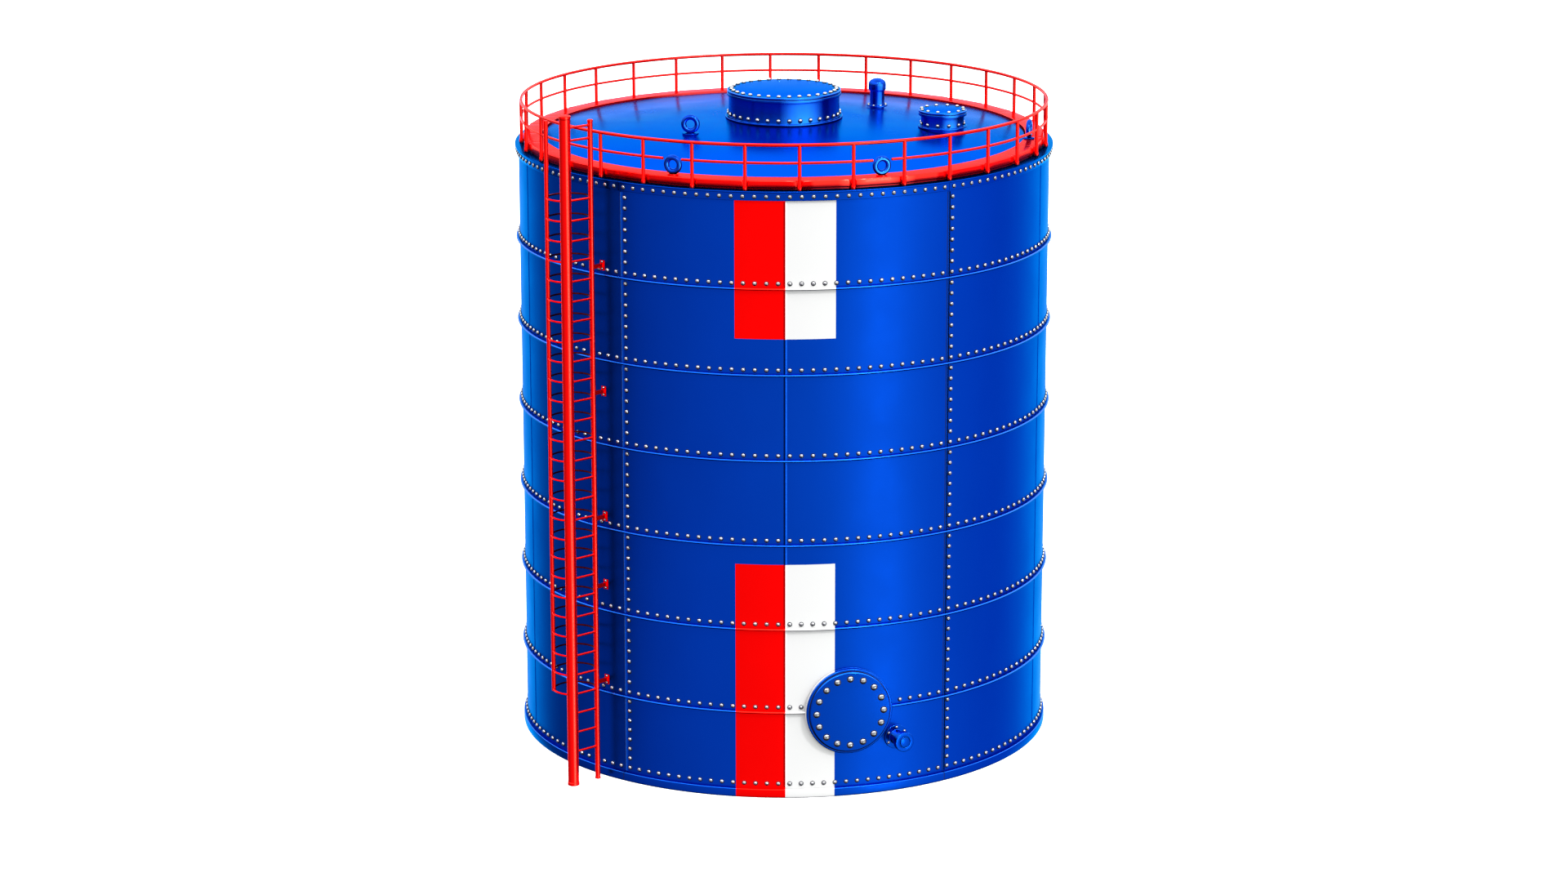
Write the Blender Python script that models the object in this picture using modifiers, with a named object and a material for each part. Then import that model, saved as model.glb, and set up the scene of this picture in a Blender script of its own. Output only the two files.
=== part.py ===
# Vertical storage tank: bolted steel shell, low cone roof, guardrail, caged ladder, hatches.
# Metres, +Z up, origin on the ground at the tank's axis. Angles are in degrees round the axis,
# from the front (-Y) towards +X.

import math

import bmesh
import bpy
from mathutils import Matrix, Vector

GAP = 0.0003            # running gap between pieces that touch

# Shell
SHELL_R = 4.265         # outer radius of the wall
WALL_T = 0.006
FACETS = 60             # flat faces round the shell
COLUMNS = 10            # columns of wall plates
RIM_H = 0.138           # base rim
FIRST_HOOP = 1.395      # height of the lowest hoop
COURSE_H = 1.352
HOOPS = 6
HOOP_H = 0.046
RING_R = 4.324          # outer radius of the rim, the hoops and the ledge
FLOOR_T = 0.008
BAND_Z = 9.52
BAND_H = 0.15
BAND_R = 4.30           # outer face, under the ledge's lip
LIP_H = 0.024
LEDGE_T = 0.03
LEDGE_R = 3.78          # inner radius of the ledge on the band
WALL_TOP = BAND_Z + BAND_H - LEDGE_T - GAP

# Roof
LEDGE_Z = BAND_Z + BAND_H
ROOF_R = 3.858
ROOF_EDGE_Z = 9.78
ROOF_SLOPE = 0.09
ROOF_T = 0.008
SKIRT_T = 0.02

# Kerb and guardrail
POSTS = 32
FIRST_POST = 3.2
POST_PITCH = 360 / POSTS
KERB_IN = 3.8785        # at the mitres
KERB_OUT = 4.185        # at the mitres
KERB_TOP = 9.81
NOTCH_W = 0.085
NOTCH_D = 0.03
RAIL_R = 4.215          # radius of the line of posts
POST_D = 0.055
TOP_RAIL_D = 0.05
MID_RAIL_D = 0.04
TOP_RAIL_Z = 10.36
MID_RAIL_Z = 10.085
QUARTERS = 4
RAIL_JOINT = 0.0034     # gap between the rails of two quarters

# Ladder
STILE_XY = Vector((-2.957, -3.378))     # thin stile, beside the wall
POST_XY = Vector((-3.327, -3.685))      # thick outer post
STILE_D = 0.088
OUTER_POST_D = 0.185
STILE_TOP = 10.605
OUTER_POST_TOP = 10.72
RUNG_D = 0.036
RUNG_PITCH = 0.316
FIRST_RUNG = 0.54
RUNGS = 29
TIE_Z = (10.32, 10.52)  # two more bars, at the head
CAGE_FROM = 3           # index of the first rung that has a cage hoop
CAGE_R = 0.34
CAGE_BAR = 0.030
UPRIGHT_D = 0.066
UPRIGHT_TOP = 10.58
BRACKET_FACET = -39.0   # middle of the wall facet that carries the brackets
BRACKET_ANGLE = -41.0
BRACKET_Z = (1.60, 3.17, 4.28, 6.30, 8.30)
PLATE_SIZE = Vector((0.094, 0.014, 0.16))
ARM_W = 0.042
ARM_H = 0.06

# Hatches, vent and eyes
HATCH = dict(flange=0.94, neck=0.89, lip=0.914, bore=0.87, height=0.40, cover=0.055)
ROOF_HOLE_R = 0.864     # under the roof hatch
SMALL_HATCH = dict(flange=0.39, neck=0.345, lip=0.384, bore=0.335, height=0.235, cover=0.05)
SMALL_HATCH_XY = Vector((2.536, -0.297))
SMALL_HATCH_RISE = 0.036        # seat above the roof under its axis
VENT_XY = Vector((1.527, 1.38))
VENT_RISE = 0.03
VENT_FLANGE = 0.171
VENT_NECK = 0.119
VENT_CAP = 0.145
VENT_H = 0.46
EYE_MAJOR = 0.108
EYE_MINOR = 0.042
EYE_RISE = 0.052        # middle of the bar above the seat, at the bottom of the ring
EYE_BASE_T = 0.02
EYES = {                # position round the axis, radius, facing, radius of the base
    "lifting_eye_front_left": (-24.5, 4.07, -24.5, 0.085),
    "lifting_eye_front_right": (21.4, 4.07, 21.4, 0.085),
    "lifting_eye_right": (79.7, 3.965, 79.7, 0.085),
    "lifting_eye_roof": (-53.2, 1.847, -8.0, 0.13),
}

# Manhole and nozzle
MANHOLE_ANGLE = 13.7
MANHOLE_Z = 1.39
MANHOLE = dict(neck=0.60, bore=0.58, flange=0.69, cover=0.65)
MANHOLE_BACK = 4.15     # distances from the tank's axis
MANHOLE_FLANGE = (4.285, 4.33)
MANHOLE_COVER = 4.385
NOZZLE_ANGLE = 24.3
NOZZLE_Z = 0.875
NOZZLE = dict(neck=0.115, bore=0.09, pad=0.195, end=0.157)
NOZZLE_BACK = 4.20
NOZZLE_PAD = (4.272, 4.294)
NOZZLE_END = (4.51, 4.60)
NOZZLE_CAP = 4.612

BLUE = (0.0, 0.055, 0.42, 1.0)
RED = (0.85, 0.005, 0.003, 1.0)

for old in list(bpy.data.objects):
    bpy.data.objects.remove(old)

parts = bpy.data.collections.new("vertical_storage_tank")
cutters = bpy.data.collections.new("cutters")
bpy.context.scene.collection.children.link(parts)
bpy.context.scene.collection.children.link(cutters)


def paint(name, color):
    """A gloss paint of its own for one piece."""
    material = bpy.data.materials.new(name)
    material.use_nodes = True
    shader = material.node_tree.nodes["Principled BSDF"]
    shader.inputs["Base Color"].default_value = color
    shader.inputs["Roughness"].default_value = 0.3
    shader.inputs["Metallic"].default_value = 0.0
    material.diffuse_color = color
    return material


def add(name, mesh, color=BLUE, smooth=True):
    """Put a mesh into the model as a named piece."""
    piece = bpy.data.objects.new(name, mesh)
    parts.objects.link(piece)
    if not mesh.materials:
        mesh.materials.append(paint(name + "_paint", color))
    if smooth:
        mesh.shade_smooth()
        mesh.set_sharp_from_angle(angle=math.radians(30))
    return piece


def mesh_of(bm, name="shape"):
    mesh = bpy.data.meshes.new(name)
    bm.to_mesh(mesh)
    bm.free()
    return mesh


def evaluated(piece):
    """The piece's mesh with its modifiers or curve settings applied, closed along its caps."""
    bpy.context.view_layer.update()
    graph = bpy.context.evaluated_depsgraph_get()
    mesh = bpy.data.meshes.new_from_object(piece.evaluated_get(graph))
    mesh.transform(piece.matrix_world)
    bm = bmesh.new()
    bm.from_mesh(mesh)
    bmesh.ops.remove_doubles(bm, verts=bm.verts, dist=0.00005)
    bm.to_mesh(mesh)
    bm.free()
    bpy.data.objects.remove(piece)
    mesh.materials.clear()
    return mesh


def on_circle(angle, radius, z=0.0):
    a = math.radians(angle)
    return Vector((radius * math.sin(a), -radius * math.cos(a), z))


def outward(angle):
    """Frame at the axis whose local -Y points outward at the given angle."""
    return Matrix.Rotation(math.radians(angle), 4, "Z")


def turned(profile, steps, matrix=Matrix.Identity(4)):
    """A ring or disc from a profile of (radius, height), read down its outer side."""
    mesh = bpy.data.meshes.new("profile")
    closed = min(r for r, z in profile) > 0
    edges = [(i, i + 1) for i in range(len(profile) - 1)]
    if closed:
        edges.append((len(profile) - 1, 0))
    mesh.from_pydata([(r, 0.0, z) for r, z in profile], edges, [])
    piece = bpy.data.objects.new("turned", mesh)
    parts.objects.link(piece)
    screw = piece.modifiers.new("Screw", "SCREW")
    screw.steps = steps
    screw.render_steps = steps
    screw.use_merge_vertices = True
    screw.merge_threshold = 0.0001
    piece.matrix_world = matrix
    return evaluated(piece)


def facing(angle, z):
    """Matrix that lays a turned shape's axis along the outward direction at a wall."""
    return Matrix.Translation((0, 0, z)) @ outward(angle) @ Matrix.Rotation(math.radians(90), 4, "X")


def slab(outlines, bottom, top):
    """Flat outlines, the later ones as holes, given their thickness."""
    curve = bpy.data.curves.new("outline", "CURVE")
    curve.dimensions = "2D"
    curve.fill_mode = "BOTH"
    curve.extrude = (top - bottom) / 2
    for outline in outlines:
        spline = curve.splines.new("POLY")
        spline.points.add(len(outline) - 1)
        spline.use_cyclic_u = True
        for point, place in zip(spline.points, outline):
            point.co = (place[0], place[1], 0.0, 1.0)
    piece = bpy.data.objects.new("slab", curve)
    parts.objects.link(piece)
    piece.location.z = (top + bottom) / 2
    return evaluated(piece)


def tube(points, diameter, sides):
    """A round bar along a line of points."""
    curve = bpy.data.curves.new("line", "CURVE")
    curve.dimensions = "3D"
    curve.bevel_depth = diameter / 2
    curve.bevel_resolution = sides // 2 - 2
    curve.use_fill_caps = True
    spline = curve.splines.new("POLY")
    spline.points.add(len(points) - 1)
    for point, place in zip(spline.points, points):
        point.co = (*place, 1.0)
    piece = bpy.data.objects.new("tube", curve)
    parts.objects.link(piece)
    return evaluated(piece)


def cylinder(radius, bottom, top, sides, centre=Vector((0, 0))):
    bm = bmesh.new()
    place = Matrix.Translation((centre.x, centre.y, (bottom + top) / 2))
    bmesh.ops.create_cone(bm, cap_ends=True, segments=sides, radius1=radius, radius2=radius,
                          depth=top - bottom, matrix=place)
    return mesh_of(bm)


def box(size, matrix):
    bm = bmesh.new()
    bmesh.ops.create_cube(bm, size=1.0, matrix=matrix @ Matrix.Diagonal((*size, 1.0)))
    return mesh_of(bm)


def joined(meshes):
    """Several separate bodies as one mesh, for use as a Boolean operand."""
    bm = bmesh.new()
    for mesh in meshes:
        bm.from_mesh(mesh)
    return mesh_of(bm)


def boolean(mesh, operand, operation):
    """The first mesh united with, or cut by, the second."""
    body = bpy.data.objects.new("body", mesh)
    parts.objects.link(body)
    tool = bpy.data.objects.new("cutter", operand)
    tool.hide_render = True
    tool.display_type = "WIRE"
    cutters.objects.link(tool)
    modifier = body.modifiers.new("Boolean", "BOOLEAN")
    modifier.operation = operation
    modifier.solver = "EXACT"
    modifier.object = tool
    result = evaluated(body)
    bpy.data.objects.remove(tool)
    return result


def roof_z(radius):
    return ROOF_EDGE_Z + ROOF_SLOPE * (ROOF_R - radius)


def make_base():
    rim_in = SHELL_R - WALL_T - 0.05
    plate_r = rim_in - 0.0005
    add("floor_plate", turned([(0, FLOOR_T), (plate_r, FLOOR_T), (plate_r, 0), (0, 0)], FACETS))
    profile = [(rim_in, RIM_H), (RING_R, RIM_H), (RING_R, 0), (rim_in, 0)]
    add("base_rim", turned(profile, FACETS))


def arc(radius, start, end, steps):
    return [on_circle(start + (end - start) * i / steps, radius) for i in range(steps + 1)]


def make_wall():
    span = 360 / COLUMNS
    steps = FACETS // COLUMNS
    seam = math.degrees(GAP / 2 / SHELL_R)
    for i in range(COLUMNS):
        start = i * span + seam
        end = (i + 1) * span - seam
        outline = arc(SHELL_R, start, end, steps) + arc(SHELL_R - WALL_T, end, start, steps)
        mesh = slab([outline], RIM_H + GAP, WALL_TOP)
        if i == 0:
            mesh = boolean(mesh, bore(MANHOLE["neck"] + GAP, MANHOLE_ANGLE, MANHOLE_Z, 30), "DIFFERENCE")
            mesh = boolean(mesh, bore(NOZZLE["neck"] + GAP, NOZZLE_ANGLE, NOZZLE_Z, 16), "DIFFERENCE")
        add("wall_column_%02d" % (i + 1), mesh)


def bore(radius, angle, z, sides):
    """A cutter through the wall, square to it."""
    profile = [(0, SHELL_R + 0.4), (radius, SHELL_R + 0.4), (radius, SHELL_R - 0.4), (0, SHELL_R - 0.4)]
    return turned(profile, sides, facing(angle, z))


def make_hoops():
    inner = SHELL_R + GAP
    chamfer = 0.016
    for k in range(HOOPS):
        z = FIRST_HOOP + COURSE_H * k
        profile = [(inner, z + HOOP_H / 2), (RING_R, z + chamfer / 2),
                   (RING_R, z - chamfer / 2), (inner, z - HOOP_H / 2)]
        mesh = turned(profile, FACETS)
        if k == 0:
            mesh = boolean(mesh, bore(MANHOLE["flange"] + 0.004, MANHOLE_ANGLE, MANHOLE_Z, 30), "DIFFERENCE")
        add("hoop_%d" % (k + 1), mesh)


def make_band():
    inner = SHELL_R + GAP
    profile = [(LEDGE_R, LEDGE_Z), (RING_R, LEDGE_Z), (RING_R, LEDGE_Z - LIP_H),
               (BAND_R, LEDGE_Z - LIP_H), (BAND_R, BAND_Z), (inner, BAND_Z),
               (inner, LEDGE_Z - LEDGE_T), (LEDGE_R, LEDGE_Z - LEDGE_T)]
    add("top_band", turned(profile, FACETS))


def make_roof():
    bore_r = ROOF_HOLE_R
    foot = LEDGE_Z + GAP
    profile = [(bore_r, roof_z(bore_r)), (ROOF_R, ROOF_EDGE_Z), (ROOF_R, foot),
               (ROOF_R - SKIRT_T, foot), (ROOF_R - SKIRT_T, roof_z(ROOF_R - SKIRT_T) - ROOF_T),
               (bore_r, roof_z(bore_r) - ROOF_T)]
    mesh = turned(profile, FACETS)
    for radius, place, sides in ((SMALL_HATCH["neck"], SMALL_HATCH_XY, 20), (VENT_NECK, VENT_XY, 12)):
        mesh = boolean(mesh, cylinder(radius + GAP, 9.5, 10.5, sides, place), "DIFFERENCE")
    add("roof", mesh)


def make_kerb():
    outer = []
    inner = []
    for k in range(POSTS):
        angle = FIRST_POST + k * POST_PITCH
        half = math.degrees(NOTCH_W / 2 / KERB_OUT)
        outer += [on_circle(angle - half, KERB_OUT - 0.002), on_circle(angle - half, KERB_OUT - NOTCH_D),
                  on_circle(angle + half, KERB_OUT - NOTCH_D), on_circle(angle + half, KERB_OUT - 0.002)]
        inner.append(on_circle(angle, KERB_IN))
    add("kerb", slab([outer, inner], LEDGE_Z + GAP, KERB_TOP), RED, smooth=False)


def make_guardrail():
    per_quarter = POSTS // QUARTERS
    end_gap = math.degrees(RAIL_JOINT / 2 / RAIL_R)
    eye_cutters = [bore_at_eye(name) for name in ("lifting_eye_front_left", "lifting_eye_front_right")]
    for q in range(QUARTERS):
        first = FIRST_POST + (q * per_quarter - 0.5) * POST_PITCH
        last = first + per_quarter * POST_PITCH
        line = arc(RAIL_R, first + end_gap, last - end_gap, per_quarter * 2)
        top = tube([p + Vector((0, 0, TOP_RAIL_Z)) for p in line], TOP_RAIL_D, 6)
        mid = tube([p + Vector((0, 0, MID_RAIL_Z)) for p in line], MID_RAIL_D, 4)
        for cutter in eye_cutters:
            mid = boolean(mid, cutter.copy(), "DIFFERENCE")
        posts = []
        for k in range(per_quarter):
            place = on_circle(first + (k + 0.5) * POST_PITCH, RAIL_R)
            posts.append(cylinder(POST_D / 2, LEDGE_Z + GAP, TOP_RAIL_Z, 6, place))
        mesh = boolean(boolean(top, joined(posts), "UNION"), mid, "UNION")
        add("guardrail_%d" % (q + 1), mesh, RED)


def bore_at_eye(name):
    """A cutter that ends the mid rail at the ring of a lifting eye."""
    angle, radius, turn, base_r = EYES[name]
    size = EYE_MAJOR + EYE_MINOR + GAP
    centre = on_circle(angle, radius, KERB_TOP + GAP + EYE_RISE + EYE_MAJOR)
    matrix = Matrix.Translation(centre) @ outward(turn) @ Matrix.Rotation(math.radians(90), 4, "X")
    return turned([(0, 0.25), (size, 0.25), (size, -0.25), (0, -0.25)], 20, matrix)


def make_ladder():
    rungs = []
    levels = [FIRST_RUNG + i * RUNG_PITCH for i in range(RUNGS)] + list(TIE_Z)
    for z in levels:
        rungs.append(tube([(*POST_XY, z), (*STILE_XY, z)], RUNG_D, 6))
    post = cylinder(OUTER_POST_D / 2, 0, OUTER_POST_TOP, 12, POST_XY)
    stile = cylinder(STILE_D / 2, 0, STILE_TOP, 8, STILE_XY)
    add("ladder", boolean(boolean(post, joined(rungs), "UNION"), stile, "UNION"), RED)


def cage_centre():
    across = STILE_XY - POST_XY
    reach = math.sqrt(CAGE_R ** 2 - (across.length / 2) ** 2)
    side = Vector((-across.y, across.x)).normalized()
    return (POST_XY + STILE_XY) / 2 + side * reach


def make_cage():
    centre = cage_centre()
    to_post = POST_XY - centre
    to_stile = STILE_XY - centre
    start = math.atan2(to_post.y, to_post.x)
    end = math.atan2(to_stile.y, to_stile.x)
    sweep = (start - end) % (2 * math.pi)
    steps = 9
    hoops = []
    for i in range(CAGE_FROM, RUNGS):
        z = FIRST_RUNG + i * RUNG_PITCH
        line = []
        for s in range(steps + 1):
            a = start - sweep * s / steps
            line.append((centre.x + CAGE_R * math.cos(a), centre.y + CAGE_R * math.sin(a), z))
        hoops.append(tube(line, CAGE_BAR, 4))
    foot = FIRST_RUNG + CAGE_FROM * RUNG_PITCH - 0.04
    place = centre + Vector((-CAGE_R, 0))
    upright = cylinder(UPRIGHT_D / 2, foot, UPRIGHT_TOP, 8, place)
    mesh = boolean(upright, joined(hoops), "UNION")
    mesh = boolean(mesh, cylinder(OUTER_POST_D / 2 + GAP, 0, 11, 12, POST_XY), "DIFFERENCE")
    mesh = boolean(mesh, cylinder(STILE_D / 2 + GAP, 0, 11, 8, STILE_XY), "DIFFERENCE")
    add("ladder_cage", mesh, RED)


def make_brackets():
    face = SHELL_R * math.cos(math.radians(180 / FACETS)) + GAP
    sideways = face * math.tan(math.radians(BRACKET_ANGLE - BRACKET_FACET))
    foot = outward(BRACKET_FACET) @ Vector((sideways, -face, 0))
    to_stile = STILE_XY - foot.xy
    turn = math.atan2(to_stile.x, -to_stile.y)
    for i, z in enumerate(BRACKET_Z):
        plate = box(PLATE_SIZE, Matrix.Translation((0, 0, z)) @ outward(BRACKET_FACET)
                    @ Matrix.Translation((sideways, -face - PLATE_SIZE.y / 2, 0)))
        length = to_stile.length - 0.006
        arm = box((ARM_W, length, ARM_H), Matrix.Translation((foot.x, foot.y, z))
                  @ Matrix.Rotation(turn, 4, "Z") @ Matrix.Translation((0, -length / 2 - 0.006, 0)))
        mesh = boolean(plate, arm, "UNION")
        mesh = boolean(mesh, cylinder(STILE_D / 2 + GAP, 0, 11, 8, STILE_XY), "DIFFERENCE")
        add("ladder_bracket_%d" % (i + 1), mesh, RED, smooth=False)


def make_hatch(name, sizes, place, seat, steps, through=0.0):
    """A neck with a base flange and a lip, and the cover bolted on it."""
    plate = 0.022
    top = seat + sizes["height"]
    profile = [(sizes["bore"], top), (sizes["lip"], top), (sizes["lip"], top - 2 * plate),
               (sizes["neck"], top - 2 * plate), (sizes["neck"], seat + plate),
               (sizes["flange"], seat + plate), (sizes["flange"], seat)]
    if through:
        profile += [(sizes["neck"], seat), (sizes["neck"], seat - through)]
    profile.append((sizes["bore"], profile[-1][1]))
    matrix = Matrix.Translation((place.x, place.y, 0))
    add(name + "_neck", turned(profile, steps, matrix))
    low = top + GAP
    high = low + sizes["cover"]
    edge = sizes["lip"]
    bevel = 0.012
    profile = [(0, high), (edge - bevel, high), (edge, high - bevel), (edge, low), (0, low)]
    add(name + "_cover", turned(profile, steps, matrix))


def make_vent():
    seat = roof_z(VENT_XY.length) + VENT_RISE
    top = seat + VENT_H
    dome = 0.10
    profile = [(0, top)]
    profile += [(VENT_CAP * math.sin(a), top - dome + dome * math.cos(a))
                for a in (math.radians(d) for d in (30, 60, 90))]
    profile += [(VENT_CAP, top - 0.20), (VENT_NECK, top - 0.20), (VENT_NECK, seat + 0.022),
                (VENT_FLANGE, seat + 0.022), (VENT_FLANGE, seat), (VENT_NECK, seat),
                (VENT_NECK, seat - 0.06), (0, seat - 0.06)]
    add("roof_vent", turned(profile, 12, Matrix.Translation((VENT_XY.x, VENT_XY.y, 0))))


def eye_base(angle, turn, base_r, slope):
    """A round base plate, its underside following the slope that it stands on."""
    bm = bmesh.new()
    middle = Matrix.Translation((0, 0, EYE_BASE_T / 2))
    bmesh.ops.create_cone(bm, cap_ends=True, segments=12, radius1=base_r, radius2=base_r,
                          depth=EYE_BASE_T, matrix=middle)
    downhill = on_circle(angle - turn, slope)
    for vert in bm.verts:
        if vert.co.z < EYE_BASE_T / 2:
            vert.co.z -= vert.co.dot(downhill)
    return mesh_of(bm)


def make_eyes():
    ring = []
    for i in range(8):
        a = 2 * math.pi * i / 8
        ring.append((EYE_MAJOR + EYE_MINOR * math.cos(a), -EYE_MINOR * math.sin(a)))
    upright = Matrix.Translation((0, 0, EYE_RISE + EYE_MAJOR)) @ Matrix.Rotation(math.radians(90), 4, "X")
    torus = turned(ring, 16, upright)
    for name, (angle, radius, turn, base_r) in EYES.items():
        on_roof = radius < KERB_IN - 0.1
        seat = roof_z(radius) if on_roof else KERB_TOP
        base = eye_base(angle, turn, base_r, ROOF_SLOPE if on_roof else 0.0)
        piece = add(name, boolean(torus.copy(), base, "UNION"))
        piece.matrix_world = Matrix.Translation(on_circle(angle, radius, seat + GAP)) @ outward(turn)


def make_manhole():
    matrix = facing(MANHOLE_ANGLE, MANHOLE_Z)
    back, front = MANHOLE_FLANGE
    profile = [(MANHOLE["bore"], front), (MANHOLE["flange"], front), (MANHOLE["flange"], back),
               (MANHOLE["neck"], back), (MANHOLE["neck"], MANHOLE_BACK), (MANHOLE["bore"], MANHOLE_BACK)]
    add("manhole_neck", turned(profile, 30, matrix))
    low = front + GAP
    edge = MANHOLE["cover"]
    bevel = 0.012
    profile = [(0, MANHOLE_COVER), (edge - bevel, MANHOLE_COVER), (edge, MANHOLE_COVER - bevel),
               (edge, low), (0, low)]
    add("manhole_cover", turned(profile, 30, matrix))


def make_nozzle():
    matrix = facing(NOZZLE_ANGLE, NOZZLE_Z)
    neck, bore_r = NOZZLE["neck"], NOZZLE["bore"]
    profile = [(bore_r, NOZZLE_END[1]), (NOZZLE["end"], NOZZLE_END[1]), (NOZZLE["end"], NOZZLE_END[0]),
               (neck, NOZZLE_END[0]), (neck, NOZZLE_PAD[1]), (NOZZLE["pad"], NOZZLE_PAD[1]),
               (NOZZLE["pad"], NOZZLE_PAD[0]), (neck, NOZZLE_PAD[0]), (neck, NOZZLE_BACK),
               (bore_r, NOZZLE_BACK)]
    add("nozzle", turned(profile, 16, matrix))
    plug = bore_r - GAP
    profile = [(0, NOZZLE_CAP), (plug - 0.008, NOZZLE_CAP), (plug, NOZZLE_CAP - 0.008),
               (plug, NOZZLE_END[0]), (0, NOZZLE_END[0])]
    add("nozzle_cap", turned(profile, 16, matrix))


make_base()
make_wall()
make_hoops()
make_band()
make_roof()
make_kerb()
make_guardrail()
make_ladder()
make_cage()
make_brackets()
make_hatch("roof_hatch", HATCH, Vector((0, 0)), roof_z(ROOF_HOLE_R) + GAP, 30)
make_hatch("small_hatch", SMALL_HATCH, SMALL_HATCH_XY,
           roof_z(SMALL_HATCH_XY.length) + SMALL_HATCH_RISE, 20, through=0.12)
make_vent()
make_eyes()
make_manhole()
make_nozzle()
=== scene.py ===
import math
import random

import bmesh
import bpy
import numpy as np
from mathutils import Matrix, Vector


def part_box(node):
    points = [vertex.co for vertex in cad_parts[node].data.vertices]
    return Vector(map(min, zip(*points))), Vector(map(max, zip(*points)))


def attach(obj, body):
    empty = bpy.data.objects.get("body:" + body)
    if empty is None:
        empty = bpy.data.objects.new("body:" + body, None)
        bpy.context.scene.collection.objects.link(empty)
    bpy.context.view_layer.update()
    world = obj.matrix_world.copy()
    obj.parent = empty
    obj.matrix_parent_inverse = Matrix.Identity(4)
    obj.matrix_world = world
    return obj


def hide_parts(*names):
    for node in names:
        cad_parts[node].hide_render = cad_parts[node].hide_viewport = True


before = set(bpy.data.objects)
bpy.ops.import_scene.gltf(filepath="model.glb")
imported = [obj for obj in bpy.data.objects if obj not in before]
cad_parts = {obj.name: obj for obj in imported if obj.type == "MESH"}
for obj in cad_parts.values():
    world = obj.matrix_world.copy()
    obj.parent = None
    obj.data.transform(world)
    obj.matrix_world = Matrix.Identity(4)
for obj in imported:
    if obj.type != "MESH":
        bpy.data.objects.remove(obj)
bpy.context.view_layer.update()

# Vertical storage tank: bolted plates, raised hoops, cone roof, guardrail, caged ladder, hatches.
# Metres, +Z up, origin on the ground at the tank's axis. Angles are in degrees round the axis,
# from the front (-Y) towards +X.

random.seed(7)

GAP = 0.0003            # running gap between pieces that touch

# Shell
SHELL_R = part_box("wall_column_03")[1].x
WALL_T = 0.006
RING_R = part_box("base_rim")[1].x
RIM_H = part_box("base_rim")[1].z
RIM_T = 0.05
HOOP_Z = [(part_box("hoop_%d" % k)[0].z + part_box("hoop_%d" % k)[1].z) / 2 for k in range(1, 7)]
HOOP_H = 0.046
BAND_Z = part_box("top_band")[0].z
LEDGE_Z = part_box("top_band")[1].z
LEDGE_T = 0.03
LIP_H = 0.024
LEDGE_R = 3.78
BAND_R = 4.30
WALL_FOOT = RIM_H + 0.001
WALL_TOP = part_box("wall_column_01")[1].z
THROUGH_WALL = (4.1, 4.4)       # distances from the axis between which an opening is cut
COLUMNS = 10
SPAN = 360 / COLUMNS
BOLTED_SEAMS = (36, 108, 180, 252, 324)
PLATE_JOINT = 0.0006    # half of the joint between two columns
RING_JOINT = 0.005      # joints in the hoops and the top band
RIM_JOINT = 0.012
WELD_R = 0.006          # weld line on a plain joint
LAP_EDGE = 0.025        # from a bolted seam to the raised edge of its lap
LAP_R = 0.030           # roundness and rise of a raised edge
LAP_RISE = 0.015
LAP_LINE = 0.05         # from a bolted seam to the fine line beside it
LINE_R = 0.004

# Roof and its fittings
ROOF_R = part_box("roof")[1].x
ROOF_EDGE_Z = 9.78
ROOF_SLOPE = 0.09
ROOF_T = 0.008
SKIRT_T = 0.02
ROOF_HOLE_R = 0.864
HATCH = dict(flange=0.94, neck=0.89, lip=0.914, bore=0.87, height=0.40, rise=0.006, disc=0.775)
SMALL_HATCH = dict(flange=0.39, neck=0.345, lip=0.384, bore=0.335, height=0.235, rise=0.005, disc=0.30)
VENT = dict(cap=0.145, dome=0.10, neck=0.119, flange=0.171, bolts=0.147, rise=0.06)
PLATE = 0.022           # thickness of a flange
GASKET = 0.008          # seals under the covers

# Kerb and guardrail
POSTS = 32
FIRST_POST = 3.2
POST_PITCH = 360 / POSTS
KERB_IN = 3.8785        # at the mitres
KERB_OUT = 4.185        # at the mitres
KERB_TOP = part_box("kerb")[1].z
NOTCH_W = 0.085
NOTCH_D = 0.03
RAIL_R = 4.215          # radius of the line of posts
POST_D = 0.055
TOP_RAIL_D = 0.05
MID_RAIL_D = 0.04
TOP_RAIL_Z = 10.36
MID_RAIL_Z = 10.085
MID_RAIL_GAPS = (-23.7, 20.7)   # middles of the gaps at the two front eyes

# Ladder and cage
STILE_XY = Vector((-2.957, -3.378))     # thin stile, beside the wall
POST_XY = Vector((-3.327, -3.685))      # thick outer post
STILE_D = 0.088
OUTER_POST_D = 0.185
STILE_TOP = 10.605
OUTER_POST_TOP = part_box("ladder")[1].z
RUNG_D = 0.036
RUNG_Z = [0.54 + 0.316 * i for i in range(29)]
TIE_Z = [10.32, 10.52]  # two more bars, at the head
CAGE_FROM = 3           # index of the first rung that has a cage hoop
CAGE_R = 0.34
CAGE_CENTRE = Vector((-3.2955, -3.3465))
CAGE_BAR = 0.030
UPRIGHT_D = 0.066
UPRIGHT_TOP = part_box("ladder_cage")[1].z
BRACKET_FACET = -39.0   # middle of the facet of the solid wall that carries the brackets
HALF_FACET = 3.0
BRACKET_ANGLE = -41.0
PLATE_SIZE = Vector((0.094, 0.014, 0.16))
ARM_W = 0.042
ARM_H = 0.06

# Lifting eyes
EYE_MAJOR = 0.108
EYE_MINOR = 0.042
EYE_RISE = 0.052
EYE_BASE_T = 0.02
EYES = {                # position round the axis, radius, facing, radius of the base
    "lifting_eye_front_left": (-24.5, 4.07, -24.5, 0.085),
    "lifting_eye_front_right": (21.4, 4.07, 21.4, 0.085),
    "lifting_eye_right": (79.7, 3.965, 79.7, 0.085),
    "lifting_eye_roof": (-53.2, 1.847, -8.0, 0.13),
}

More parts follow.
